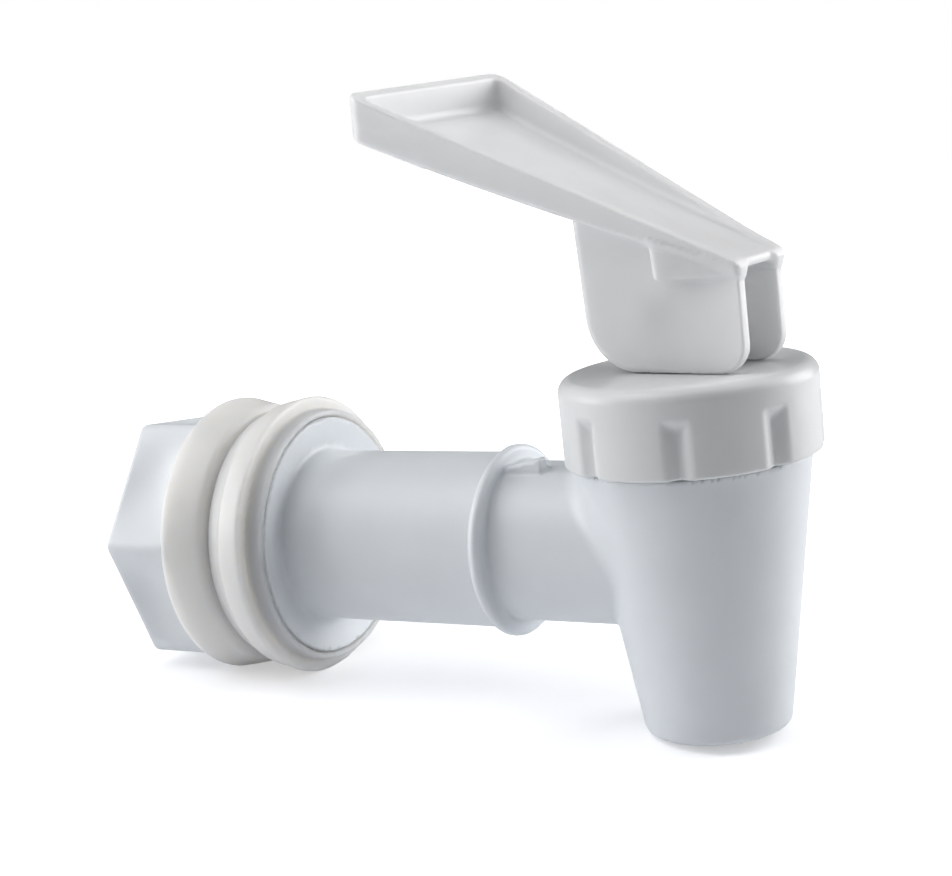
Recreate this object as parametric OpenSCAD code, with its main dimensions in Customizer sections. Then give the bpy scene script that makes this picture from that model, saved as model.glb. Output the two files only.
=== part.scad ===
// Push-lever dispenser tap with a G1/2 shank, a screw bonnet and a sprung silicone seat cup.
// Row frame: +X runs from the tank wall out along the tube, +Z is up, and the spout points down.
// The origin is on the tube's axis, at the face of the flange that bears on the tank wall's washer.

/* [Shank and tube] */
// Outside diameter of the thread on the shank
thread_d = 20.8; // [20.4:0.1:20.9]
// Pitch of the thread on the shank
thread_pitch = 1.814; // [1.8:0.001:1.83]
// Length of the shank behind the flange
shank_len = 24; // [23:0.5:30]
// Water way through the shank and the tube, as far as the collar
inlet_d = 15; // [12:0.5:15.5]
// Water way between the collar and the barrel
neck_bore_d = 14; // [11:0.5:14.5]
// Diameter of the flange
flange_d = 32.3; // [30:0.1:34]
// Thickness of the flange
flange_t = 2.2; // [1.8:0.1:3]
// Diameter of the tube between the flange and the collar
tube_d = 21.7; // [20:0.1:22.5]
// Diameter of the tube between the collar and the barrel
neck_d = 19.6; // [19:0.1:20.5]
// Diameter of the collar
collar_d = 23.7; // [22:0.1:25]
// Distance of the collar's middle from the flange's tank side
collar_x = 30; // [26:0.5:32]
// Thickness of the collar
collar_t = 1.4; // [1:0.1:3]

/* [Barrel and spout] */
// Distance of the spout's axis from the flange's tank side
spout_x = 54.6; // [52:0.1:58]
// Height of the barrel's shoulder above the tube's axis
shoulder_z = 11; // [10.5:0.1:12]
// Diameter of the barrel at its shoulder
barrel_d = 27.6; // [27:0.1:28.4]
// Depth of the spout's mouth below the tube's axis
mouth_z = -22; // [-26:0.5:-20]
// Diameter of the spout at its mouth
mouth_d = 17.3; // [16.5:0.1:18]
// Outlet bore, a push fit for 12.7 mm tube
outlet_d = 12.7; // [12:0.1:13]
// Diameter of the hole through the valve seat
seat_hole_d = 8; // [6:0.5:9]

/* [Lock nut and washers] */
// Distance across the flats of the lock nut
nut_flats = 30; // [28:0.5:32]
// Thickness of the lock nut
nut_t = 9.3; // [8:0.1:10]
// How far the lock nut is turned from a corner pointing straight along -Y
nut_turn = -6.9; // [-30:0.1:30]
// Largest diameter of the silicone washers
washer_d = 35.6; // [34:0.1:37]
// Thickness of each silicone washer
washer_t = 6.25; // [5:0.05:6.5]

/* [Bonnet] */
// Diameter of the bonnet
bonnet_d = 30.3; // [30:0.1:32]
// Height of the bonnet's top above the tube's axis
bonnet_z = 21.3; // [21:0.1:22]
// Number of grip grooves around the bonnet
groove_n = 8; // [6:1:12]
// Depth of the grip grooves
groove_depth = 0.9; // [0.4:0.1:1.1]

/* [Lever] */
// Angle that the lever is swung round from pointing straight back over the tube
swing = -6.2; // [-10:0.1:10]
// Slope of the lever's top
slope = 26.7; // [22:0.1:30]
// Length of the lever's top
lever_len = 49; // [44:0.5:54]
// Width of the lever at its tip
tip_w = 30.6; // [26:0.1:32]
// Width of the lever at its fork
fork_w = 10.9; // [10.5:0.1:11.5]
// Width across the outside of the fork's two cheeks
cheek_w = 10.1; // [10:0.1:10.4]
// Thickness of the two cheeks of the fork
cheek_t = 1.6; // [1.4:0.1:1.7]
// Height of the pivot pin above the bonnet's top
pivot_rise = 6.8; // [6.4:0.1:7.2]
// Distance of the cam's corner from the pin, towards the tip
cam_reach = 3.4; // [3:0.1:4]
// Diameter of the pivot pin
pin_d = 3; // [2.5:0.1:3]

/* [Hidden] */
$fn = 96;
run = 0.05;              // radial running clearance
eps = 0.01;              // overlap of shapes joined in one solid
thread_h = 0.95;         // depth of the shank's thread
thread_gap = 0.15;       // radial clearance between the nut's and the shank's threads
neck_top = 16.5;         // top of the barrel's neck, where the seat cup's rim lies
neck_r = 12.3;           // radius of the barrel's neck
chamber_wall = 2.1;      // wall of the neck around the chamber
chamber_floor = -9.5;    // floor of the chamber
chamber_floor_r = 8.3;   // radius of the chamber at its floor
seat_z = -8;             // height of the valve seat
seat_wall = 1;           // thickness of the seat's lip
outlet_top = -12;        // inner end of the outlet bore
grip_wall = 1.9;         // wall of the bonnet's skirt
roof_t = 2.1;            // thickness of the bonnet's roof
screw_pitch = 2.4;       // pitch of the bonnet's thread
screw_h = 0.5;           // depth of the bonnet's thread
screw_gap = 0.2;         // radial clearance in the bonnet's thread
screw_turns = 2;         // turns of the bonnet's thread
rim_t = 1.5;             // thickness of the seat cup's rim
cup_wall = 1.1;          // wall of the seat cup
cup_floor = -4.6;        // inside floor of the seat cup
cup_low_r = 5.3;         // inside radius of the seat cup at its floor
stem_r = 2.6;            // radius of the stem
foot_r = 3.2;            // radius of the stem's foot, held in the seat cup
foot_t = 1.4;            // thickness of the stem's foot
foot_drop = 0.8;         // depth of the foot's top below the cup's inside floor
guide_r = 3.6;           // radius of the stem's guide under the bonnet's roof
guide_z = 14.5;          // lower end of the stem's guide
spring_r = 4.45;         // mean radius of the return spring
wire_r = 0.45;           // radius of the spring's wire
spring_turns = 7;        // turns of the return spring
spring_washer_t = 0.8;   // thickness of the washer under the spring
play = 0.1;              // clearance under the lever's cam
head_w = 6.4;            // width of the stem's head between the cheeks
head_gap = 0.4;          // height of the stem's head above the bonnet
socket_depth = 0.85;     // depth of the pin's sockets in the cheeks
fork_u = -10.8;          // end of the fork, measured from the spout's axis towards the tip
cam_u = 10.15;           // tip side of the cheeks, measured the same way
fork_z = 34;             // height of the lever's top at the end of the fork
fork_corner_r = 3.4;     // radius of the cheeks' corner under the fork's end
tip_wall_t = 5.1;        // depth of the lever's rim at its tip
fork_wall_t = 1.1;       // depth of the lever's rim at its fork
rim_bulge = 0.6;         // how far the rim's lower edge bows down between its ends
tip_rake = 1.9;          // how far the tip's lower edge lies back from its upper edge
rim_w = 1.4;             // width of the rim around the lever's hollow
floor_t = 1.3;           // thickness of the floor under the hollow
hollow_start = 1.8;      // where the hollow starts, from the end of the fork
tip_corner_r = 2.4;      // radius of the lever's corners at its tip
skirt_z = 32.2;          // lower edge of the deep part of the lever's sides, over the fork
skirt_u = -0.8;          // end of that deep part, measured as fork_u is
lug_end = 36;            // end of the stop lug, from the flange's tank side
lug_low = 9.6;           // height of the stop lug at the collar, above the tube's axis
lug_high = 11.1;         // height of the stop lug at its end
lug_y = -3.7;            // side of the stop lug, from the tube's axis
lug_w = 1.8;             // width of the stop lug

neck_in_r = neck_r - chamber_wall;
bonnet_in_r = bonnet_d / 2 - grip_wall;
roof_z = bonnet_z - roof_t;
rim_top = neck_top + rim_t;
pin_z = bonnet_z + pivot_rise;
cam_z = bonnet_z + play;
cam_r = pin_z - cam_z;
cheek_gap = cheek_w - 2 * cheek_t;
spring_low = cup_floor + spring_washer_t;

function polar(c, r, a) = c + r * [cos(a), sin(a)];
function arc(c, r, from, to, steps) = [for (i = [0:steps]) polar(c, r, from + (to - from) * i / steps)];
function barrel_r(z) = mouth_d / 2 + (barrel_d - mouth_d) / 2 * (z - mouth_z) / (shoulder_z - mouth_z);

// Turns a profile of [distance along X, radius] about the X axis.
module turned_on_x(profile) {
    rotate([90, 0, 90]) rotate_extrude() polygon([for (p = profile) [p[1], p[0]]]);
}

// A round bar along X from one place to another.
module bar_on_x(from, to, d) {
    translate([from, 0, 0]) rotate([0, 90, 0]) cylinder(h = to - from, d = d);
}

// Moves a shape made around the Z axis to the spout's axis.
module at_spout() {
    translate([spout_x, 0, 0]) children();
}

// Places a shape in the lever's own frame: X towards the tip, Y to the lever's left side, Z up.
module at_lever() {
    at_spout() rotate([0, 0, 180 + swing]) children();
}

// Ridges of the shank's thread as [x, radius] points, from a start along X.
function ridges(start, count, pitch, root_r, crest_r) = [
    for (i = [0:count - 1]) each [
        [start + i * pitch, root_r],
        [start + (i + 0.42) * pitch, crest_r],
        [start + (i + 0.58) * pitch, crest_r],
        [start + (i + 1) * pitch, root_r]
    ]
];

thread_root = thread_d / 2 - thread_h;
shank_turns = floor((shank_len - 1.5) / thread_pitch);
shank_start = -shank_len + 0.8;

module shank() {
    turned_on_x(concat(
        [[-shank_len, 0], [-shank_len, thread_root - 0.4]],
        ridges(shank_start, shank_turns, thread_pitch, thread_root, thread_d / 2),
        [[eps, thread_root], [eps, 0]]
    ));
}

module flange() {
    turned_on_x([[0, 0], [0, flange_d / 2 - 0.3], [0.3, flange_d / 2], [flange_t - 0.5, flange_d / 2],
        [flange_t, flange_d / 2 - 0.5], [flange_t, 0]]);
}

module collar() {
    turned_on_x(concat(
        [[collar_x - collar_t / 2, 0]],
        arc([collar_x, collar_d / 2 - collar_t / 2], collar_t / 2, 180, 0, 10),
        [[collar_x + collar_t / 2, 0]]
    ));
}

// Fin on the tube, which rises away from the collar.
module stop_lug() {
    translate([0, lug_y + lug_w, 0]) rotate([90, 0, 0]) linear_extrude(lug_w)
        polygon([[collar_x, neck_d / 2 - 2], [lug_end, neck_d / 2 - 2], [lug_end, lug_high - 0.3],
            [lug_end - 0.3, lug_high], [collar_x, lug_low]]);
}

module barrel() {
    at_spout() rotate_extrude() polygon(concat(
        [[0, mouth_z], [mouth_d / 2 - 0.9, mouth_z]],
        arc([mouth_d / 2 - 0.8, mouth_z + 0.9], 0.9, -80, 0, 5),
        [[barrel_d / 2, shoulder_z - 0.15], [neck_r, shoulder_z - 0.15]],
        [for (i = [0:screw_turns - 1]) let (z = shoulder_z + 1 + i * screw_pitch) each [
            [neck_r, z], [neck_r + screw_h, z + 0.5], [neck_r + screw_h, z + 0.8], [neck_r, z + 1.3]]],
        [[neck_r, neck_top], [0, neck_top]]
    ));
}

// Everything hollow inside the body: water way, chamber, seat hole and outlet.
module water_way() {
    bar_on_x(-shank_len - 1, collar_x, inlet_d);
    bar_on_x(collar_x - 1, spout_x, neck_bore_d);
    at_spout() {
        rotate_extrude() polygon([[0, chamber_floor], [chamber_floor_r, chamber_floor],
            [neck_in_r, shoulder_z], [neck_in_r, neck_top + 1], [0, neck_top + 1]]);
        translate([0, 0, outlet_top - 1]) cylinder(h = chamber_floor - outlet_top + 2, d = seat_hole_d);
        translate([0, 0, mouth_z - 1]) cylinder(h = outlet_top - mouth_z + 1, d = outlet_d);
    }
}

module seat_lip() {
    at_spout() difference() {
        translate([0, 0, chamber_floor - eps])
            cylinder(h = seat_z - chamber_floor + eps, r = seat_hole_d / 2 + seat_wall);
        translate([0, 0, chamber_floor - 1]) cylinder(h = 4, d = seat_hole_d);
    }
}

module valve_body() {
    color("aliceblue") {
        difference() {
            union() {
                shank();
                flange();
                bar_on_x(flange_t - eps, collar_x, tube_d);
                bar_on_x(collar_x - eps, spout_x, neck_d);
                collar();
                stop_lug();
                barrel();
            }
            water_way();
        }
        seat_lip();
    }
}

nut_x = -2 * washer_t;   // face of the lock nut that bears on the tank-side washer

module lock_nut() {
    hole = thread_d / 2 + thread_gap;
    first = shank_start + ceil((nut_x - nut_t - shank_start) / thread_pitch) * thread_pitch;
    turns = ceil((nut_x - first) / thread_pitch);
    inside = ridges(first, turns, thread_pitch, thread_root + thread_gap, hole);
    past = first + turns * thread_pitch + 1;
    color("aliceblue") difference() {
        translate([nut_x - nut_t, 0, 0]) rotate([nut_turn, 0, 0]) rotate([0, 90, 0])
            rotate([0, 0, 30]) cylinder(h = nut_t, d = nut_flats / cos(30), $fn = 6);
        turned_on_x(concat([[nut_x - nut_t - 1, 0], [nut_x - nut_t - 1, hole], [first, hole]],
            inside, [[past, thread_root + thread_gap], [past, 0]]));
    }
}

// Bevelled washer around X: its flat face is at x = 0 and its lip points to -X.
module bevelled_washer() {
    hole = thread_d / 2 + 0.15;
    turned_on_x(concat(
        [[0, hole], [0, washer_d / 2 - 1]],
        arc([-1, washer_d / 2 - 1], 1, 0, 90, 5),
        [[-washer_t + 1.1, washer_d / 2 - 0.9]],
        arc([-washer_t + 1.1, washer_d / 2 - 1.6], 0.7, 90, 180, 4),
        [[-washer_t + 0.4, washer_d / 2 - 1.9], [-washer_t, washer_d / 2 - 1.9], [-washer_t, hole]]
    ));
}

module wall_washer() {
    color("linen") bevelled_washer();
}

module tank_washer() {
    color("linen") translate([nut_x, 0, 0]) mirror([1, 0, 0]) bevelled_washer();
}

// Grip groove: a sloped recess that is open at the bonnet's lower edge.
module grip_groove() {
    top = shoulder_z + 0.66 * (bonnet_z - shoulder_z);
    rotate([90, 0, 0]) translate([0, 0, -1.8]) linear_extrude(3.6)
        polygon([[bonnet_d / 2 - groove_depth, shoulder_z - 1], [bonnet_d / 2 + 1, shoulder_z - 1],
            [bonnet_d / 2 + 1, top], [bonnet_d / 2 - 0.1, top], [bonnet_d / 2 - groove_depth, top - 1.4]]);
}

module bonnet() {
    color("whitesmoke") at_spout() difference() {
        rotate_extrude() polygon(concat(
            [[bonnet_in_r, shoulder_z], [bonnet_d / 2 - 0.4, shoulder_z], [bonnet_d / 2, shoulder_z + 0.4]],
            arc([bonnet_d / 2 - 1.6, bonnet_z - 1.6], 1.6, 0, 90, 6),
            [[stem_r + run, bonnet_z], [stem_r + run, guide_z], [guide_r, guide_z], [guide_r, roof_z],
                [bonnet_in_r, roof_z]],
            [for (i = [screw_turns - 1:-1:0]) let (z = shoulder_z + 1 + (i + 0.5) * screw_pitch) each [
                [bonnet_in_r, z + 1.3], [neck_r + screw_gap, z + 0.8],
                [neck_r + screw_gap, z + 0.5], [bonnet_in_r, z]]]
        ));
        for (i = [0:groove_n - 1]) rotate([0, 0, (i + 0.5) * 360 / groove_n]) grip_groove();
    }
}

// Ring between the bonnet's roof and the cup's rim, which also takes the spring's thrust.
module clamp_ring() {
    color("white") at_spout() difference() {
        translate([0, 0, rim_top]) cylinder(h = roof_z - rim_top, r = neck_r - 0.1);
        translate([0, 0, rim_top - 1]) cylinder(h = roof_z - rim_top + 2, r = guide_r + run);
    }
}

module seat_cup() {
    foot_top = cup_floor - foot_drop;
    color("linen") at_spout() rotate_extrude() polygon([
        [0, seat_z], [seat_hole_d / 2 + seat_wall + 0.2, seat_z],
        [seat_hole_d / 2 + seat_wall + 0.5, seat_z + 0.7],
        [cup_low_r + cup_wall, cup_floor + 0.6], [neck_in_r - 1.4, shoulder_z + 1.5],
        [neck_in_r - 0.5, neck_top], [neck_r - 0.1, neck_top], [neck_r - 0.1, rim_top],
        [neck_in_r - 2, rim_top], [neck_in_r - 1.4 - cup_wall, shoulder_z + 1.5], [cup_low_r, cup_floor],
        [stem_r + 0.1, cup_floor], [stem_r + 0.1, foot_top + 0.1], [foot_r + 0.1, foot_top + 0.1],
        [foot_r + 0.1, foot_top - foot_t - 0.1], [0, foot_top - foot_t - 0.1]
    ]);
}

module spring_washer() {
    color("silver") at_spout() translate([0, 0, cup_floor]) difference() {
        cylinder(h = spring_washer_t, r = cup_low_r - 0.2);
        translate([0, 0, -1]) cylinder(h = 3, r = stem_r + run);
    }
}

// Points of one ring of the wire, square to the helix at an angle of turn.
function wire_ring(turn, rise, sides) = let (
    total = 360 * spring_turns,
    z = spring_low + wire_r + rise * turn / total,
    lean = atan(rise / (2 * PI * spring_r * spring_turns)))
    [for (k = [0:sides - 1]) let (a = 360 * k / sides, out = wire_r * cos(a), up = wire_r * sin(a))
        [(spring_r + out) * cos(turn) + up * sin(lean) * sin(turn),
            (spring_r + out) * sin(turn) - up * sin(lean) * cos(turn), z + up * cos(lean)]];

// Helical spring, swept as rings of points around the helix.
module return_spring() {
    sides = 8;
    rings = 18 * spring_turns;
    rise = rim_top - spring_low - 2 * wire_r;
    points = [for (i = [0:rings]) each wire_ring(360 * spring_turns * i / rings, rise, sides)];
    walls = [for (i = [0:rings - 1], k = [0:sides - 1]) let (m = (k + 1) % sides)
        [i * sides + k, (i + 1) * sides + k, (i + 1) * sides + m, i * sides + m]];
    ends = [[for (k = [0:sides - 1]) k], [for (k = [sides - 1:-1:0]) rings * sides + k]];
    color("silver") at_spout() polyhedron(points, concat(walls, ends));
}

module stem() {
    foot_top = cup_floor - foot_drop;
    head_low = bonnet_z + head_gap;
    color("white") difference() {
        union() {
            at_spout() rotate_extrude() polygon([[0, foot_top - foot_t], [foot_r - 0.4, foot_top - foot_t],
                [foot_r, foot_top - foot_t + 0.4], [foot_r, foot_top], [stem_r, foot_top],
                [stem_r, head_low + 1], [0, head_low + 1]]);
            at_lever() rotate([90, 0, 0]) translate([0, 0, -head_w / 2]) linear_extrude(head_w)
                polygon(concat([[-3.2, head_low], [3.2, head_low]], arc([0, pin_z], 3.2, 0, 180, 24)));
        }
        at_lever() translate([0, head_w, pin_z]) rotate([90, 0, 0]) cylinder(h = 2 * head_w, d = pin_d);
    }
}

module pivot_pin() {
    len = cheek_gap + 2 * socket_depth - 0.1;
    color("silver") at_lever() translate([0, len / 2, pin_z]) rotate([90, 0, 0]) cylinder(h = len, d = pin_d);
}

function half_w(s) = fork_w / 2 + (tip_w - fork_w) / 2 * s / lever_len;

// Places a shape in the plane of the lever's top: X along it from the fork's end, Z square to it.
module on_top_plane() {
    translate([fork_u, 0, fork_z]) rotate([0, -slope, 0]) children();
}

// Side view outline, as [along, height], carried across the lever's whole width.
module across(width, outline) {
    translate([0, width / 2, 0]) rotate([90, 0, 0]) linear_extrude(width) polygon(outline);
}

// Depth of the rim's lower edge below the lever's top, at a distance from the end of the fork.
function rim_depth(s) = let (f = s / (lever_len - tip_rake))
    fork_wall_t + (tip_wall_t - fork_wall_t) * f + 4 * rim_bulge * f * (1 - f);

// Places from one distance to another, which carry the bowed lower edge.
function stations(from, to) = [for (i = [0:8]) from + (to - from) * i / 8];

// The lever seen square to its top: a wedge that widens to round corners at the tip.
module lever_plan() {
    corner_s = lever_len - tip_corner_r;
    corner_y = half_w(lever_len) - 1.1 * tip_corner_r;
    translate([0, 0, -20]) linear_extrude(21) polygon(concat(
        [[0, -half_w(0)]],
        arc([corner_s, -corner_y], tip_corner_r, -75, 0, 6),
        arc([corner_s, corner_y], tip_corner_r, 0, 75, 6),
        [[0, half_w(0)]]));
}

module hollow() {
    inner_tip = lever_len - rim_w;
    low_s = inner_tip - tip_rake * 0.7;
    intersection() {
        translate([0, 0, -20]) linear_extrude(21) polygon([
            [hollow_start, rim_w - half_w(hollow_start)], [inner_tip, rim_w + 0.3 - half_w(lever_len)],
            [inner_tip, half_w(lever_len) - rim_w - 0.3], [hollow_start, half_w(hollow_start) - rim_w]]);
        across(tip_w, concat([for (s = stations(hollow_start, low_s)) [s, floor_t - rim_depth(s)]],
            [[inner_tip, 1], [hollow_start, 1]]));
    }
}

module tray() {
    on_top_plane() difference() {
        intersection() {
            lever_plan();
            across(tip_w + 2, concat([[0, 0]],
                [for (s = stations(0, lever_len - tip_rake)) [s, -rim_depth(s)]], [[lever_len, 0]]));
        }
        hollow();
    }
}

// Deep sides over the fork, in the same planes as the lever's sides.
module skirt() {
    end_rise = (skirt_u - fork_u) * tan(slope);
    difference() {
        intersection() {
            on_top_plane() lever_plan();
            across(tip_w, [[fork_u, skirt_z], [skirt_u, skirt_z], [skirt_u, fork_z + end_rise - 2.1],
                [fork_u, fork_z - 1]]);
        }
        translate([fork_u - 1, -cheek_gap / 2, skirt_z - 1]) cube([skirt_u - fork_u + 2, cheek_gap, 20]);
    }
}

// Outline of a cheek from the side, as [towards the tip, height].
function cheek_outline() = let (top_at_cam = fork_z + (cam_u - fork_u) * tan(slope)) concat(
    [[fork_u, fork_z - 1]],
    arc([fork_u + fork_corner_r, cam_z + fork_corner_r], fork_corner_r, 180, 270, 6),
    arc([cam_reach, pin_z], cam_r, 270, 360, 12),
    [[cam_u, top_at_cam - 9], [cam_u + 0.7, top_at_cam - 3.4]]
);

module lever() {
    color("whitesmoke") at_lever() difference() {
        union() {
            tray();
            skirt();
            for (side = [-1, 1])
                translate([0, side * (cheek_w - cheek_t) / 2, 0]) across(cheek_t, cheek_outline());
        }
        translate([0, cheek_gap / 2 + socket_depth, pin_z]) rotate([90, 0, 0])
            cylinder(h = cheek_gap + 2 * socket_depth, d = pin_d + 2 * run);
    }
}

valve_body();
lock_nut();
tank_washer();
wall_washer();
bonnet();
clamp_ring();
seat_cup();
spring_washer();
return_spring();
stem();
pivot_pin();
lever();
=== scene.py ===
"""Looks of the push-lever dispenser tap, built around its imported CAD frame.

The mouldings and washers are meshed from distance fields, so that every edge and junction has the soft
radius of the real part. A field takes points in millimetres in the frame's axes, X along the tube and
Z up, and gives their distance to a surface, negative inside. The last number in a call to fillet,
rounded, cut or disc is a radius.
"""
import math

import bpy
import numpy as np
from mathutils import Matrix, Vector


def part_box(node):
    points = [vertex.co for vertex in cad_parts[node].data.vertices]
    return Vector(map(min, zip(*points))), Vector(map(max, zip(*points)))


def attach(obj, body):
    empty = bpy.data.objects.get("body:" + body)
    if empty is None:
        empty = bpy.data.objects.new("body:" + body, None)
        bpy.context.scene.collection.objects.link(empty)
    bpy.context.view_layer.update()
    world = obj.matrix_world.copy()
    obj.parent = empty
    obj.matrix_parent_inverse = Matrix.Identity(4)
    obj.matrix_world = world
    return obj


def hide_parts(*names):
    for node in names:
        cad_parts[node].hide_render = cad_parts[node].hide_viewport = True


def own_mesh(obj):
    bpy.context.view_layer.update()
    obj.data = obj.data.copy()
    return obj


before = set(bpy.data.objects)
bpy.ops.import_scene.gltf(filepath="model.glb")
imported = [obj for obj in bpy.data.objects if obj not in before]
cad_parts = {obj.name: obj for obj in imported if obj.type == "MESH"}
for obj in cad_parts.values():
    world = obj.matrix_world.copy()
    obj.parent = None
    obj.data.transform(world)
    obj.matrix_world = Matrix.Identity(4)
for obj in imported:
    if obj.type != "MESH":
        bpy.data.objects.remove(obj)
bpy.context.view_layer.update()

MM = 0.001


# ---------------------------------------------------------------- places from the frame, in millimetres

def node_box(name):
    """Lowest and highest corner of a CAD node, in millimetres."""
    low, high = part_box(name)
    return np.array(low) / MM, np.array(high) / MM


BODY_LOW, BODY_HIGH = node_box("valve_body")
BONNET_LOW, BONNET_HIGH = node_box("bonnet")
NUT_LOW, NUT_HIGH = node_box("lock_nut")
WALL_LOW, WALL_HIGH = node_box("wall_washer")
TANK_LOW, TANK_HIGH = node_box("tank_washer")
LEVER_LOW, LEVER_HIGH = node_box("lever")
STEM_LOW, STEM_HIGH = node_box("stem")
PIN_LOW, PIN_HIGH = node_box("pivot_pin")

SPOUT_X = (BONNET_LOW[0] + BONNET_HIGH[0]) / 2
BONNET_R = (BONNET_HIGH[0] - BONNET_LOW[0]) / 2
BONNET_TOP = BONNET_HIGH[2]
NECK_TOP = BODY_HIGH[2]
MOUTH_Z = BODY_LOW[2]
SHANK_END = BODY_LOW[0]
FLANGE_R = BODY_HIGH[1]
WASHER_R = WALL_HIGH[2]
WASHER_T = WALL_HIGH[0] - WALL_LOW[0]
PIN_Z = (PIN_LOW[2] + PIN_HIGH[2]) / 2


# ---------------------------------------------------------------- sizes, in millimetres and degrees

# Flange: its face is dished, starting DISH_RIM inside the edge and deepening over DISH_SLOPE
FLANGE_T = 2.2
DISH_DEPTH, DISH_RIM, DISH_SLOPE, DISH_X = 0.7, 1.2, 3.2, 1.0

# Tube, collar and the fin behind the collar
TUBE_R, NECK_TUBE_R = 10.85, 9.8
COLLAR_X, COLLAR_R, COLLAR_T = 30.0, 11.85, 1.4
FIN_END, FIN_LOW, FIN_HIGH, FIN_ROOT = 36.0, 9.6, 11.1, 3.0
FIN_Y, FIN_W = -3.7, 1.8

# Barrel, from the mouth up to the shoulder under the bonnet; its fillet with the tube widens upwards
BARREL_R, MOUTH_R, NECK_R, NECK_H = 13.8, 8.65, 12.3, 5.5
SHOULDER_Z = NECK_TOP - NECK_H
SHOULDER_GAP = 0.15
FILLET_LOW, FILLET_TOP, FILLET_Z, FILLET_RISE = 0.5, 2.5, -3, 10

# Hollows, each of which runs into the next by OVERLAP, and the valve seat's lip
INLET_R, NECK_BORE_R, OUTLET_R, SEAT_R = 7.5, 7.0, 6.35, 4.0
CHAMBER_FLOOR, CHAMBER_FLOOR_R, CHAMBER_TOP_R = -9.5, 8.3, 10.2
OUTLET_TOP, SEAT_Z, LIP_T, OVERLAP = -12.0, -8.0, 1.0, 1.0

# Shank's thread: a flank's end and length are in half pitches from a crest, and THREAD_SCALE brings the
# field near to a true distance. Then the chamfer at the shank's end
THREAD_R, THREAD_ROOT_R, THREAD_PITCH = 10.4, 9.45, 1.814
FLANK_END, FLANK_LEN, THREAD_SCALE = 0.86, 0.7, 0.75
END_STEP, END_LEN = 0.4, 1.6

# Rings of the bonnet's thread on the neck, with heights above the shoulder
RING_PITCH, RING_Z, RING_HALF, RING_H = 2.4, 1.6, 0.75, 0.5
RINGS_LOW, RINGS_HIGH = 0.6, 4.9

# Wall washer: a rim on the flange's side, then a hub, both tapering, and an edge that wraps the flange
WASHER_HOLE_R = 10.55
RIM_T, RIM_TAPER = 3.8, 0.6
HUB_STEP, HUB_END_STEP = 1.1, 1.9
WRAP_T, WRAP_GAP = 0.95, 0.18
WRAP_R = FLANGE_R - WRAP_T + WRAP_GAP
WRAP_END = WALL_HIGH + np.array([FLANGE_T, 0, 0])

# Tank washer: a tapering rim, and a lip on the wall's side
TANK_TAPER, TANK_TAPER_END = 0.9, 1.1
LIP_H, LIP_STEP = 0.4, 1.9

# Lock nut: each face is dished in the middle, between margins along the nut
NUT_FLATS, NUT_TURN = 30.0, -6.9
NUT_DISH, NUT_DISH_HALF, NUT_DISH_MARGIN = 0.8, 7.2, 0.5
NUT_PLAY = 0.12

# Bonnet, its grip grooves and the guide for the stem
BONNET_EDGE, GRIP_WALL, ROOF_T = 1.7, 1.9, 2.1
GUIDE_R, GUIDE_Z = 3.6, 14.5
GROOVE_N, GROOVE_DEPTH, GROOVE_RISE, GROOVE_TURN = 8, 0.95, 0.66, -4
GROOVE_FLARE, GROOVE_SOFT, GROOVE_END_SLOPE = 0.62, 0.12, 1.2

# Stem and pivot pin
STEM_R, STEM_PLAY, HEAD_R, HEAD_GAP = 2.6, 0.05, 3.2, 0.4
FOOT_R, FOOT_T = 3.2, 1.4
PIN_R, PIN_PLAY, SOCKET_PLAY, SOCKET_DEPTH = 1.5, 0.02, 0.05, 0.85

# Lever: a wedge from the fork's back edge to the tip, sloping up, with a hollow top
SWING, SLOPE = -6.2, 26.7
FORK_U, FORK_Z, FORK_W = -10.8, 34.0, 10.9
LEVER_LEN, TIP_W, TIP_RAKE, TIP_CORNER_R = 49.8, 30.9, 1.9, 2.0
FORK_DEPTH, TIP_DEPTH, RIM_BULGE = 1.1, 5.1, 0.6
RIM_W, FLOOR_T, FLOOR_COVER = 1.4, 1.3, 0.6

# Fork's cheeks, whose outer edge gets softer towards the tip, and the deep sides above them
CHEEK_OUT, CHEEK_IN, CHEEK_HEEL_R = 5.05, 3.45, 3.4
CAM_U, CAM_GAP, CAM_STEP, CAM_LEAN = 10.15, 0.1, 0.3, 0.25
CHEEK_EDGE, CHEEK_EDGE_RISE, CHEEK_EDGE_U = 0.3, 0.9, 6
SKIRT_Z, SKIRT_U = 32.2, -0.8
CHEEK_FILLET, SKIRT_FILLET = 1.3, 0.5

# Pocket for the stem's foot in the seat cup
FOOT_POCKET_Z, POCKET_PLAY = -5.3, 0.3


# ---------------------------------------------------------------- distance fields

def fillet(a, b, r):
    """Union of two fields with a concave fillet of radius r."""
    return np.maximum(r, np.minimum(a, b)) - np.hypot(np.maximum(r - a, 0), np.maximum(r - b, 0))


def rounded(a, b, r):
    """Intersection of two fields with a convex edge of radius r."""
    return np.minimum(-r, np.maximum(a, b)) + np.hypot(np.maximum(r + a, 0), np.maximum(r + b, 0))


def cut(a, b, r):
    """Field a with field b taken away, and the edge rounded to radius r."""
    return rounded(a, -b, r)


def slab(value, low, high):
    """Space between two values along one direction."""
    return np.maximum(low - value, value - high)


def disc(along, radius, low, high, r, edge):
    """Round plate between two places along its axis, with rounded rims."""
    return rounded(slab(along, low, high), radius - r, edge)


def sloped(radius, along, r0, a0, r1, a1):
    """Side of a cone through (a0, r0) and (a1, r1)."""
    slope = (r1 - r0) / (a1 - a0)
    return (radius - r0 - slope * (along - a0)) / math.hypot(1, slope)


def spout_radius(p):
    """Distance from the spout's axis."""
    return np.hypot(p[0] - SPOUT_X, p[1])


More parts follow.
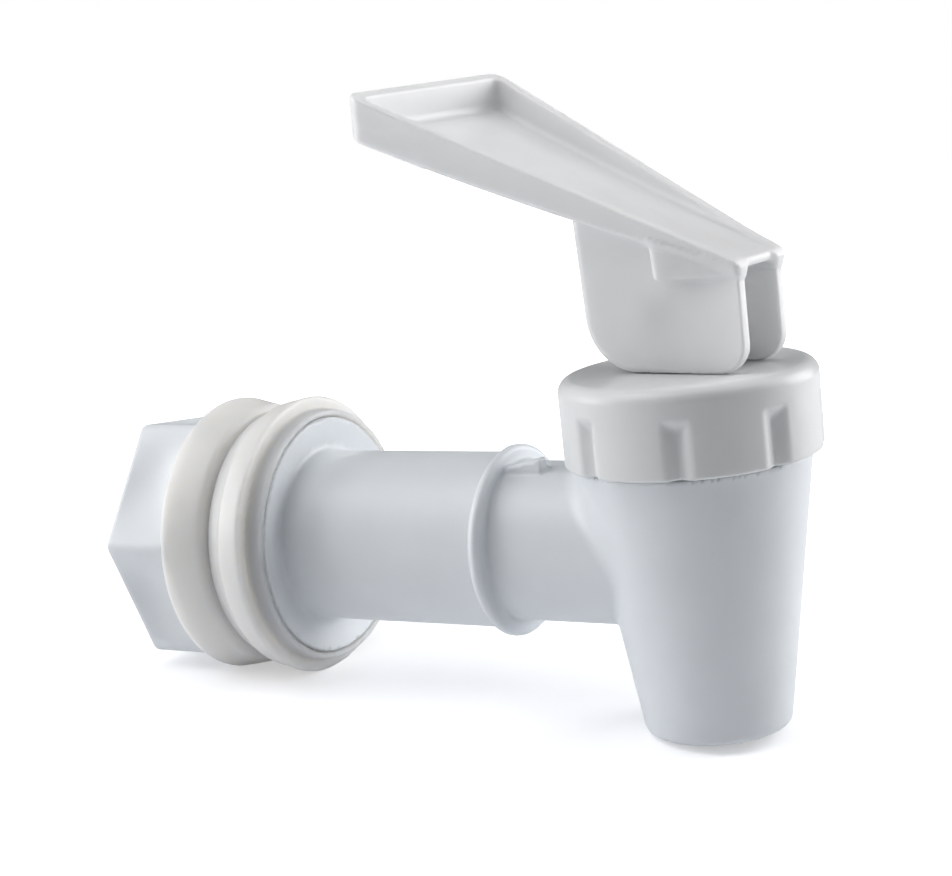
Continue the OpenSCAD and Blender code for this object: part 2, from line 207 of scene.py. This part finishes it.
def shank_field(x, y, z):
    """Shank with a helical thread and a chamfered end."""
    rx = np.hypot(y, z)
    wave = x / THREAD_PITCH - np.arctan2(z, y) / (2 * math.pi)
    wave = np.abs(wave - np.round(wave)) * 2
    height = (THREAD_R - THREAD_ROOT_R) * np.clip((FLANK_END - wave) / FLANK_LEN, 0, 1)
    thread = (rx - THREAD_ROOT_R - height) * THREAD_SCALE
    thread = rounded(thread, slab(x, SHANK_END, 0.5), 0.4)
    chamfer = sloped(rx, x, THREAD_ROOT_R - END_STEP, SHANK_END, THREAD_R, SHANK_END + END_LEN)
    return np.maximum(thread, chamfer)


def neck_field(rz, z):
    """Barrel's neck with the rings of the bonnet's thread."""
    ring = (z - SHOULDER_Z - RING_Z) / RING_PITCH
    ring = np.abs(ring - np.round(ring)) * RING_PITCH
    ring = np.clip(RING_HALF - ring, 0, RING_H)
    ring = ring * (z > SHOULDER_Z + RINGS_LOW) * (z < SHOULDER_Z + RINGS_HIGH)
    return rounded(rz - NECK_R - ring, slab(z, SHOULDER_Z - 2, NECK_TOP), 0.2)


def water_field(x, rx, rz, z):
    """Everything hollow inside the body: inlet, valve chamber, seat hole and outlet."""
    inlet = np.minimum(np.maximum(rx - INLET_R, x - COLLAR_X), np.maximum(rx - NECK_BORE_R, x - SPOUT_X))
    chamber = sloped(rz, z, CHAMBER_FLOOR_R, CHAMBER_FLOOR, CHAMBER_TOP_R, SHOULDER_Z)
    chamber = np.minimum(chamber, np.maximum(rz - CHAMBER_TOP_R, SHOULDER_Z - z))
    chamber = np.maximum(chamber, CHAMBER_FLOOR - z)
    seat_hole = np.maximum(rz - SEAT_R, slab(z, OUTLET_TOP - OVERLAP, CHAMBER_FLOOR + OVERLAP))
    outlet = np.maximum(rz - OUTLET_R, slab(z, MOUTH_Z - 2 * OVERLAP, OUTLET_TOP))
    return np.minimum(fillet(inlet, chamber, 0.4), np.minimum(seat_hole, outlet))


def body_field(p):
    """Shank, flange, tube, collar, fin, barrel and neck as one moulding, with its hollows and valve seat."""
    x, y, z = p
    rx = np.hypot(y, z)
    rz = spout_radius(p)

    tube = rounded(slab(x, 0, COLLAR_X), rx - TUBE_R, 0.2)
    neck_tube = np.maximum(rx - NECK_TUBE_R, slab(x, COLLAR_X, SPOUT_X))
    dish = DISH_DEPTH * np.clip((FLANGE_R - DISH_RIM - rx) / DISH_SLOPE, 0, 1)
    flange = disc(x + dish * (x > DISH_X), rx, 0, FLANGE_T, FLANGE_R - WRAP_T, 0.3)
    collar = disc(x, rx, COLLAR_X - COLLAR_T / 2, COLLAR_X + COLLAR_T / 2, COLLAR_R, COLLAR_T / 2 - 0.01)

    barrel = sloped(rz, z, MOUTH_R, MOUTH_Z, BARREL_R, SHOULDER_Z)
    barrel = rounded(barrel, z - SHOULDER_Z + SHOULDER_GAP, 0.3)
    barrel = rounded(barrel, MOUTH_Z - z, 0.9)

    fin_top = sloped(z, x, FIN_LOW, COLLAR_X, FIN_HIGH, FIN_END)
    fin = rounded(slab(x, COLLAR_X, FIN_END), slab(y, FIN_Y, FIN_Y + FIN_W), 0.35)
    fin = rounded(fin, np.maximum(fin_top, NECK_TUBE_R - FIN_ROOT - z), 0.35)

    solid = fillet(tube, flange, 0.6)
    solid = fillet(solid, collar, 0.4)
    solid = fillet(solid, neck_tube, 0.5)
    solid = fillet(solid, fin, 0.4)
    widening = np.clip((z - FILLET_Z) / FILLET_RISE, 0, 1)
    solid = fillet(solid, barrel, FILLET_LOW + (FILLET_TOP - FILLET_LOW) * widening)
    solid = np.minimum(solid, neck_field(rz, z))
    solid = np.minimum(solid, shank_field(x, y, z))
    solid = cut(solid, water_field(x, rx, rz, z), 0.35)
    lip = rounded(np.abs(rz - SEAT_R - LIP_T / 2) - LIP_T / 2, z - SEAT_Z, 0.25)
    return np.minimum(solid, np.maximum(lip, CHAMBER_FLOOR - 0.5 - z))


def bonnet_field(p):
    """Screw cap with soft V-shaped grip grooves, open at its lower edge, and a guide for the stem."""
    x, y, z = p
    rz = spout_radius(p)
    shell = rounded(rz - BONNET_R, z - BONNET_TOP, BONNET_EDGE)
    shell = rounded(shell, SHOULDER_Z - z, 0.4)

    pitch = 2 * math.pi / GROOVE_N
    turn = np.mod(np.arctan2(y, x - SPOUT_X) - math.radians(GROOVE_TURN), pitch) - pitch / 2
    bottom = BONNET_R - GROOVE_DEPTH - GROOVE_SOFT + np.hypot(GROOVE_FLARE * rz * np.sin(turn), GROOVE_SOFT)
    groove = (bottom - rz * np.cos(turn)) / math.hypot(1, GROOVE_FLARE)
    end = SHOULDER_Z + GROOVE_RISE * (BONNET_TOP - SHOULDER_Z)
    groove_top = (z - end + GROOVE_END_SLOPE * (BONNET_R - rz)) / math.hypot(1, GROOVE_END_SLOPE)
    shell = cut(shell, rounded(groove, groove_top, 0.3), 0.25)

    inside = np.maximum(rz - BONNET_R + GRIP_WALL, z - BONNET_TOP + ROOF_T)
    guide = np.maximum(rz - GUIDE_R, GUIDE_Z - z)
    shell = cut(shell, np.maximum(inside, -guide), 0.2)
    return cut(shell, rz - STEM_R - STEM_PLAY, 0.2)


def nut_field(p):
    """Hexagonal nut with dished faces."""
    x, y, z = p
    rr = np.hypot(y, z)
    sixth = math.pi / 3
    fold = np.mod(np.arctan2(z, y) - math.radians(NUT_TURN), sixth) - sixth / 2
    middle = (NUT_LOW[0] + NUT_HIGH[0]) / 2
    half = (NUT_HIGH[0] - NUT_LOW[0]) / 2
    dish = np.clip(1 - (rr * np.sin(fold) / NUT_DISH_HALF) ** 2, 0, 1) ** 1.5
    dish *= np.clip(1 - ((x - middle) / (half - NUT_DISH_MARGIN)) ** 2, 0, 1)
    face = rr * np.cos(fold) - NUT_FLATS / 2 + NUT_DISH * dish
    nut = rounded(face, rr * np.cos(sixth - np.abs(fold)) - NUT_FLATS / 2, 0.6)
    nut = rounded(nut, slab(x, NUT_LOW[0], NUT_HIGH[0]), 0.45)
    return cut(nut, rr - THREAD_R - NUT_PLAY, 0.3)


def wall_washer_field(p):
    """Washer with a wide rim, a narrower hub behind it and a thin edge that wraps the flange."""
    x, rr = p[0], np.hypot(p[1], p[2])
    rim = sloped(rr, -x, WASHER_R, 1, WASHER_R - RIM_TAPER, RIM_T)
    rim = rounded(rim, slab(-x, 0, RIM_T), 0.5)
    hub = sloped(rr, -x, WASHER_R - HUB_STEP, RIM_T, WASHER_R - HUB_END_STEP, WASHER_T)
    hub = rounded(hub, slab(-x, 0.5, WASHER_T), 0.35)
    wrap = rounded(rr - FLANGE_R, slab(x, -1, FLANGE_T), 0.3)
    wrap = rounded(wrap, WRAP_R - rr, 0.2)
    washer = fillet(fillet(rim, hub, 0.25), wrap, 0.3)
    washer = np.maximum(washer, np.minimum(x - 0.02, WRAP_R - rr))
    return cut(washer, rr - WASHER_HOLE_R, 0.2)


def tank_washer_field(p):
    """Washer whose rim tapers smoothly from its flat face to its lip."""
    along, rr = p[0] - TANK_LOW[0], np.hypot(p[1], p[2])
    washer = sloped(rr, along, WASHER_R, 1, WASHER_R - TANK_TAPER, WASHER_T - TANK_TAPER_END)
    washer = rounded(washer, slab(along, 0, WASHER_T - LIP_H), 0.9)
    lip = rounded(rr - WASHER_R + LIP_STEP, slab(along, 0.5, WASHER_T), 0.25)
    return cut(fillet(washer, lip, 0.3), rr - WASHER_HOLE_R, 0.2)


def in_lever_frame(p):
    """Distance towards the lever's tip and distance to its side, from the spout's axis, and height."""
    turn = math.radians(180 + SWING)
    x, y, z = p
    return ((x - SPOUT_X) * math.cos(turn) + y * math.sin(turn),
            y * math.cos(turn) - (x - SPOUT_X) * math.sin(turn), z)


def stem_field(p):
    """Rod with a foot and with a rounded head that the pin passes through."""
    u, v, z = in_lever_frame(p)
    rz = spout_radius(p)
    head_low = BONNET_TOP + HEAD_GAP
    shaft = rounded(rz - STEM_R, slab(z, STEM_LOW[2], head_low + 1), 0.1)
    foot = disc(z, rz, STEM_LOW[2], STEM_LOW[2] + FOOT_T, FOOT_R, 0.3)
    head = rounded(np.hypot(u, np.maximum(z - PIN_Z, 0)) - HEAD_R, head_low - z, 0.4)
    head = rounded(head, np.abs(v) - HEAD_R, 0.4)
    stem = np.minimum(fillet(shaft, head, 0.3), foot)
    return cut(stem, np.hypot(u, z - PIN_Z) - PIN_R - PIN_PLAY, 0.15)


def lever_field(p):
    """Push lever; s runs along its sloping top from the fork's back edge, and n upwards from that top."""
    u, v, z = in_lever_frame(p)
    side = np.abs(v)
    tilt = math.radians(SLOPE)
    s = (u - FORK_U) * math.cos(tilt) + (z - FORK_Z) * math.sin(tilt)
    n = (z - FORK_Z) * math.cos(tilt) - (u - FORK_U) * math.sin(tilt)

    # Wedge with a hollow top, which deepens towards the tip
    taper = (TIP_W - FORK_W) / 2 / LEVER_LEN
    flank = (side - FORK_W / 2 - taper * s) / math.hypot(1, taper)
    rake = TIP_RAKE / TIP_DEPTH
    nose = (s - LEVER_LEN - rake * n) / math.hypot(1, rake)
    share = s / (LEVER_LEN - TIP_RAKE)
    depth = FORK_DEPTH + (TIP_DEPTH - FORK_DEPTH) * share + 4 * RIM_BULGE * share * (1 - share)
    plan = rounded(rounded(flank, nose, TIP_CORNER_R), FORK_U - u, 0.3)
    wedge = rounded(rounded(plan, n, 0.3), -depth - n, 0.6)
    hollow = rounded(rounded(flank + RIM_W, nose + RIM_W, 1.5), FLOOR_T - depth - n, 0.9)
    roof = n + FLOOR_COVER - np.minimum(FLOOR_T - depth, 0)

    # Cheeks of the fork
    cam_z = BONNET_TOP + CAM_GAP
    lean = CAM_STEP + CAM_LEAN * np.clip((z - PIN_Z) / (FORK_Z - PIN_Z), 0, 2)
    outline = rounded(rounded(cam_z - z, FORK_U - u, CHEEK_HEEL_R), u - CAM_U - lean, PIN_Z - cam_z)
    towards_tip = np.clip((u - FORK_U - CHEEK_EDGE_U) / (CAM_U - FORK_U - CHEEK_EDGE_U), 0, 1)
    cheek = rounded(outline, side - CHEEK_OUT, CHEEK_EDGE + CHEEK_EDGE_RISE * towards_tip)
    cheek = np.maximum(rounded(cheek, CHEEK_IN - side, 0.25), roof)

    # Deep sides over the fork
    skirt = rounded(rounded(flank, SKIRT_Z - z, 0.5), u - SKIRT_U, 0.8)
    skirt = rounded(np.maximum(skirt, CHEEK_IN - side), FORK_U - u, 0.3)
    skirt = np.maximum(skirt, roof)

    lever = fillet(fillet(wedge, cheek, CHEEK_FILLET), skirt, SKIRT_FILLET)
    lever = cut(lever, hollow, 0.25)
    socket = np.maximum(np.hypot(u, z - PIN_Z) - PIN_R - SOCKET_PLAY, side - CHEEK_IN - SOCKET_DEPTH)
    return cut(lever, socket, 0.12)


# ---------------------------------------------------------------- meshing

CORNERS = [(i, j, k) for i in (0, 1) for j in (0, 1) for k in (0, 1)]
SLOPE_STEP = 0.02
PULLS = 5


def sample(field, low, high, cell):
    """Values of a field on an even grid."""
    xs, ys, zs = [np.arange(a, b + cell, cell) for a, b in zip(low, high)]
    values = np.empty([len(xs), len(ys), len(zs)], np.float32)
    for i, x in enumerate(xs):
        values[i] = field(np.meshgrid([x], ys, zs, indexing="ij"))[0]
    return values


def surface_cells(inside):
    """Cells of the grid that have corners both inside and outside."""
    sizes = [n - 1 for n in inside.shape]
    count = np.zeros(sizes, np.int8)
    for corner in CORNERS:
        count += inside[tuple(slice(start, start + n) for start, n in zip(corner, sizes))]
    return np.argwhere((count > 0) & (count < len(CORNERS)))


def mean_crossing(values, cells):
    """Mean place, within each cell, of the points where the surface crosses the cell's edges."""
    total = np.zeros((len(cells), 3))
    crossings = np.zeros(len(cells))
    for a in CORNERS:
        for axis in range(3):
            if a[axis]:
                continue
            b = tuple(1 if n == axis else start for n, start in enumerate(a))
            fa = values[tuple((cells + a).T)]
            fb = values[tuple((cells + b).T)]
            crosses = (fa < 0) != (fb < 0)
            share = np.where(crosses, fa / np.where(crosses, fa - fb, 1), 0)
            point = np.array(a, float) + share[:, None] * (np.array(b, float) - a)
            total += point * crosses[:, None]
            crossings += crosses
    return total / crossings[:, None]


def surface_quads(inside, cells):
    """One outward quad for every grid edge that the surface crosses, through the four cells round it."""
    number = -np.ones([n - 1 for n in inside.shape], np.int64)
    number[tuple(cells.T)] = np.arange(len(cells))
    quads = []
    for axis in range(3):
        u, v = [n for n in range(3) if n != axis]
        first = [slice(None)] * 3
        second = [slice(None)] * 3
        first[axis], second[axis] = slice(0, -1), slice(1, None)
        starts, ends = inside[tuple(first)], inside[tuple(second)]
        edges = np.argwhere(starts != ends)
        edges = edges[(edges[:, u] > 0) & (edges[:, v] > 0)]
        ring = []
        for du, dv in ((1, 1), (0, 1), (0, 0), (1, 0)):
            cell_at = edges.copy()
            cell_at[:, u] -= du
            cell_at[:, v] -= dv
            ring.append(number[tuple(cell_at.T)])
        ring = np.stack(ring, 1)
        outward = starts[tuple(edges.T)] != (axis == 1)
        ring[~outward] = ring[~outward][:, ::-1]
        quads.append(ring)
    return np.concatenate(quads)


def gradient(field, points):
    """Slope of a field at points, by central differences."""
    slope = np.empty_like(points)
    for axis in range(3):
        offset = np.zeros(3)
        offset[axis] = SLOPE_STEP
        slope[:, axis] = (field((points + offset).T) - field((points - offset).T)) / (2 * SLOPE_STEP)
    return slope


def build_mesh(name, points, quads, normals):
    """Mesh object from points in millimetres, quads between them and a normal at each."""
    mesh = bpy.data.meshes.new(name)
    mesh.vertices.add(len(points))
    mesh.vertices.foreach_set("co", (points * MM).astype(np.float32).ravel())
    mesh.loops.add(quads.size)
    mesh.loops.foreach_set("vertex_index", quads.astype(np.int32).ravel())
    mesh.polygons.add(len(quads))
    mesh.polygons.foreach_set("loop_start", np.arange(0, quads.size, 4, dtype=np.int32))
    mesh.update(calc_edges=True)
    mesh.validate()
    mesh.shade_smooth()
    mesh.normals_split_custom_set_from_vertices(normals)
    made = bpy.data.objects.new(name, mesh)
    bpy.context.scene.collection.objects.link(made)
    return made


def mesh_from_field(name, field, low, high, cell):
    """Meshes the zero surface of a field as even quads, pulled onto the exact surface."""
    low = np.array(low, float) - 1.5 * cell
    high = np.array(high, float) + 1.5 * cell
    values = sample(field, low, high, cell)
    inside = values < 0
    cells = surface_cells(inside)
    points = low + cell * (cells + mean_crossing(values, cells))
    quads = surface_quads(inside, cells)

    for _ in range(PULLS):
        slope = gradient(field, points)
        steepness = np.maximum((slope ** 2).sum(1), 0.25)
        move = field(points.T)[:, None] * slope / steepness[:, None]
        points -= np.clip(move, -cell / 2, cell / 2)
    normals = gradient(field, points)
    normals /= np.maximum(np.linalg.norm(normals, axis=1), 1e-6)[:, None]
    return build_mesh(name, points, quads, normals)


# ---------------------------------------------------------------- materials

# Sizes of the patches in the colour, the gloss, the surface's waves and its fine grain
MOTTLE_SIZE, GLOSS_SIZE, WAVE_SIZE, GRAIN_SIZE = 7, 2.2, 2.6, 0.22
MOTTLE_SHADE, GRAIN_SHARE = 0.972, 0.25
NOISE_LOW, NOISE_HIGH = 0.3, 0.7


def material(name, color, roughness, bump_height, **inputs):
    """Principled material with faint mottling, uneven gloss and a moulded skin."""
    made = bpy.data.materials.new(name)
    made.use_nodes = True
    nodes, links = made.node_tree.nodes, made.node_tree.links
    shader = nodes["Principled BSDF"]
    for socket, value in inputs.items():
        shader.inputs[socket.replace("_", " ")].default_value = value
    place = nodes.new("ShaderNodeTexCoord").outputs["Object"]

    def noise(size, detail=2):
        node = nodes.new("ShaderNodeTexNoise")
        node.inputs["Scale"].default_value = 1 / (size * MM)
        node.inputs["Detail"].default_value = detail
        links.new(place, node.inputs["Vector"])
        return node.outputs["Fac"]

    mottle = nodes.new("ShaderNodeValToRGB")
    dark, light = mottle.color_ramp.elements
    dark.position, light.position = NOISE_LOW, NOISE_HIGH
    dark.color = [*(c * MOTTLE_SHADE for c in color), 1]
    light.color = [*color, 1]
    links.new(noise(MOTTLE_SIZE), mottle.inputs["Fac"])
    links.new(mottle.outputs["Color"], shader.inputs["Base Color"])

    gloss = nodes.new("ShaderNodeMapRange")
    gloss.inputs["From Min"].default_value = NOISE_LOW
    gloss.inputs["From Max"].default_value = NOISE_HIGH
    gloss.inputs["To Min"].default_value = roughness[0]
    gloss.inputs["To Max"].default_value = roughness[1]
    links.new(noise(GLOSS_SIZE, 3), gloss.inputs["Value"])
    links.new(gloss.outputs["Result"], shader.inputs["Roughness"])

    skin = nodes.new("ShaderNodeMath")
    skin.operation = "MULTIPLY_ADD"
    links.new(noise(GRAIN_SIZE), skin.inputs[0])
    skin.inputs[1].default_value = GRAIN_SHARE
    links.new(noise(WAVE_SIZE), skin.inputs[2])
    bump = nodes.new("ShaderNodeBump")
    bump.inputs["Distance"].default_value = bump_height * MM
    links.new(skin.outputs["Value"], bump.inputs["Height"])
    links.new(bump.outputs["Normal"], shader.inputs["Normal"])
    return made


def plastic(name, color, roughness, depth, share):
    """White moulding that lets some light through, to a depth in millimetres."""
    return material(name, color, roughness, 0.035, IOR=1.47, Subsurface_Weight=share,
                    Subsurface_Radius=(1.0, 1.0, 1.0), Subsurface_Scale=depth * MM)


def silicone(name):
    """Milky rubber that light passes through."""
    return material(name, (0.9, 0.885, 0.85), (0.32, 0.44), 0.03, IOR=1.41, Subsurface_Weight=1.0,
                    Subsurface_Radius=(1.0, 0.95, 0.85), Subsurface_Scale=6 * MM, Transmission_Weight=0.15)


def steel(name):
    """Plain stainless steel."""
    return material(name, (0.6, 0.6, 0.59), (0.22, 0.36), 0.01, Metallic=1.0)


COOL_WHITE = plastic("body_white", (0.74, 0.77, 0.8), (0.3, 0.4), depth=1.5, share=0.4)
BONNET_WHITE = plastic("bonnet_white", (0.72, 0.73, 0.735), (0.28, 0.38), depth=0.8, share=0.2)
LEVER_WHITE = plastic("lever_white", (0.755, 0.76, 0.765), (0.3, 0.4), depth=2.8, share=0.7)
MILKY = silicone("milky_silicone")
STEEL = steel("stainless")


# ---------------------------------------------------------------- view, floor and light

TARGET = Vector((25.2 * MM, 0, 12.78 * MM))
AZIMUTH, ELEVATION, ROLL = 31.52, 10.72, -6.39
LENS, CAMERA_DISTANCE = 81.2, 0.2646
BOX_DISTANCE = 0.5

# Floor: how white it is to the camera near the object and away from it, between two distances in
# millimetres, the even light that it gives off, its radius, and how far the tap sinks into it
NEAR_WHITE, FAR_WHITE, FADE_START, FADE_END = 0.3, 1.0, 50, 120
FLOOR_GLOW, FLOOR_R, FLOOR_SIDES, FLOOR_SINK = 0.1, 600, 96, 0.02


def towards(azimuth, elevation):
    """Direction from the object, at an azimuth right of -Y and an elevation, in degrees."""
    a, e = math.radians(azimuth), math.radians(elevation)
    return Vector((math.sin(a) * math.cos(e), -math.cos(a) * math.cos(e), math.sin(e)))


def photo_camera():
    """Camera at the photograph's viewing angle, which leans a little."""
    back = towards(AZIMUTH, ELEVATION)
    level = towards(AZIMUTH + 90, 0)
    up = back.cross(level)
    roll = math.radians(ROLL)
    right = level * math.cos(roll) + up * math.sin(roll)
    data = bpy.data.cameras.new("camera")
    data.lens, data.sensor_width = LENS, 36
    data.clip_start, data.clip_end = 0.01, 10
    camera = bpy.data.objects.new("camera", data)
    turn = Matrix((right, back.cross(right), back)).transposed().to_4x4()
    camera.matrix_world = Matrix.Translation(TARGET + back * CAMERA_DISTANCE) @ turn
    bpy.context.scene.collection.objects.link(camera)
    bpy.context.scene.camera = camera


def softbox(name, offset, elevation, size, energy):
    """Rectangular light, aimed at the object, at an azimuth measured to the right of the camera's."""
    data = bpy.data.lights.new(name, "AREA")
    data.shape = "RECTANGLE"
    data.size, data.size_y = size
    data.energy = energy
    light = bpy.data.objects.new(name, data)
    place = towards(AZIMUTH + offset, elevation)
    light.location = TARGET + place * BOX_DISTANCE
    light.rotation_euler = place.to_track_quat("Z", "Y").to_euler()
    bpy.context.scene.collection.objects.link(light)


def backdrop():
    """World that looks plain white to the camera and lights nothing."""
    world = bpy.data.worlds.new("backdrop")
    bpy.context.scene.world = world
    world.use_nodes = True
    nodes, links = world.node_tree.nodes, world.node_tree.links
    dark, seen = nodes["Background"], nodes.new("ShaderNodeBackground")
    dark.inputs["Strength"].default_value = 0
    seen.inputs["Color"].default_value = (1, 1, 1, 1)
    mix = nodes.new("ShaderNodeMixShader")
    links.new(nodes.new("ShaderNodeLightPath").outputs["Is Camera Ray"], mix.inputs["Fac"])
    links.new(dark.outputs["Background"], mix.inputs[1])
    links.new(seen.outputs["Background"], mix.inputs[2])
    links.new(mix.outputs["Shader"], nodes["World Output"].inputs["Surface"])


def table_white():
    """White that takes soft shadows near the object and fades to the backdrop's white further away."""
    white = material("table_white", (0.86, 0.87, 0.9), (0.6, 0.7), 0.01, Emission_Color=(1, 1, 1, 1))
    nodes, links = white.node_tree.nodes, white.node_tree.links
    away = nodes.new("ShaderNodeVectorMath")
    away.operation = "DISTANCE"
    links.new(nodes.new("ShaderNodeTexCoord").outputs["Object"], away.inputs[0])
    away.inputs[1].default_value = TARGET
    fade = nodes.new("ShaderNodeMapRange")
    fade.interpolation_type = "SMOOTHSTEP"
    fade.inputs["From Min"].default_value = FADE_START * MM
    fade.inputs["From Max"].default_value = FADE_END * MM
    fade.inputs["To Min"].default_value = NEAR_WHITE
    fade.inputs["To Max"].default_value = FAR_WHITE
    links.new(away.outputs["Value"], fade.inputs["Value"])
    seen = nodes.new("ShaderNodeMath")
    seen.operation = "MULTIPLY_ADD"
    links.new(fade.outputs["Result"], seen.inputs[0])
    links.new(nodes.new("ShaderNodeLightPath").outputs["Is Camera Ray"], seen.inputs[1])
    seen.inputs[2].default_value = FLOOR_GLOW
    links.new(seen.outputs["Value"], nodes["Principled BSDF"].inputs["Emission Strength"])
    return white


def floor():
    """Round table, on which the tap lies with the wall washer's rim and the spout's mouth."""
    rim = Vector((-1.15, 0, -WASHER_R))
    mouth = Vector((SPOUT_X - MOUTH_R + 0.4, 0, MOUTH_Z))
    across = Vector((0, 1, 0))
    along = (mouth - rim).normalized()
    middle = rim + along.cross(across) * FLOOR_SINK
    corners = []
    for side in range(FLOOR_SIDES):
        a = 2 * math.pi * side / FLOOR_SIDES
        corners.append((middle + (along * math.cos(a) + across * math.sin(a)) * FLOOR_R) * MM)
    mesh = bpy.data.meshes.new("table")
    mesh.from_pydata(corners, [], [range(FLOOR_SIDES)])
    mesh.materials.append(table_white())
    table = bpy.data.objects.new("table", mesh)
    bpy.context.scene.collection.objects.link(table)


# ---------------------------------------------------------------- pieces

def piece(name, field, low, high, cell, body, node, finish):
    """Meshes a field in a box, with cells of a size in millimetres, and puts it in a CAD node's place."""
    made = mesh_from_field(name, field, low, high, cell)
    made.data.materials.append(finish)
    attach(made, body)
    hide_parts(node)


def shortening(name, node, finish):
    """Copy of an inner CAD node, shortened a little at its lower end and carried on the plunger."""
    made = bpy.data.objects.new(name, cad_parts[node].data.copy())
    bpy.context.scene.collection.objects.link(made)
    made.data.materials.clear()
    made.data.materials.append(finish)
    for vertex in made.data.vertices:
        if abs(vertex.co.z / MM - FOOT_POCKET_Z) < 0.05:
            vertex.co.z += POCKET_PLAY * MM
    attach(made, "plunger")
    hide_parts(node)
    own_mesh(made)


photo_camera()
piece("tap_shell", body_field, BODY_LOW, BODY_HIGH, 0.48,
      "tap_body", "valve_body", COOL_WHITE)
piece("bonnet_shell", bonnet_field, BONNET_LOW, BONNET_HIGH, 0.36,
      "tap_body", "bonnet", BONNET_WHITE)
piece("wall_seal", wall_washer_field, WALL_LOW, WRAP_END, 0.42,
      "tap_body", "wall_washer", MILKY)
piece("tank_seal", tank_washer_field, TANK_LOW, TANK_HIGH, 0.42,
      "tap_body", "tank_washer", MILKY)
piece("hex_nut", nut_field, NUT_LOW, NUT_HIGH, 0.4,
      "nut", "lock_nut", COOL_WHITE)
piece("lever_shell", lever_field, LEVER_LOW - 1, LEVER_HIGH + 1, 0.33,
      "handle", "lever", LEVER_WHITE)
piece("valve_stem", stem_field, STEM_LOW, STEM_HIGH, 0.33,
      "swivel", "stem", COOL_WHITE)
shortening("sealing_cup", "seat_cup", MILKY)
shortening("lift_spring", "return_spring", STEEL)

for node, finish in (("clamp_ring", COOL_WHITE), ("spring_washer", STEEL), ("pivot_pin", STEEL)):
    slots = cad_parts[node].data.materials
    slots.clear()
    slots.append(finish)

bpy.context.scene.view_settings.view_transform = "Standard"
backdrop()
floor()
softbox("right_rear_box", 106, 15, size=(0.3, 0.36), energy=1.8)
softbox("left_rear_box", -97, 15, size=(0.3, 0.36), energy=1.5)
softbox("left_top_box", -75, 62, size=(0.4, 0.4), energy=1.3)
softbox("overhead_box", 180, 84, size=(0.4, 0.4), energy=0.2)
softbox("left_back_box", -130, 30, size=(0.4, 0.4), energy=0.2)
softbox("right_top_box", 85, 62, size=(0.4, 0.4), energy=0.75)
softbox("right_box", 88, 12, size=(0.36, 0.36), energy=0.25)
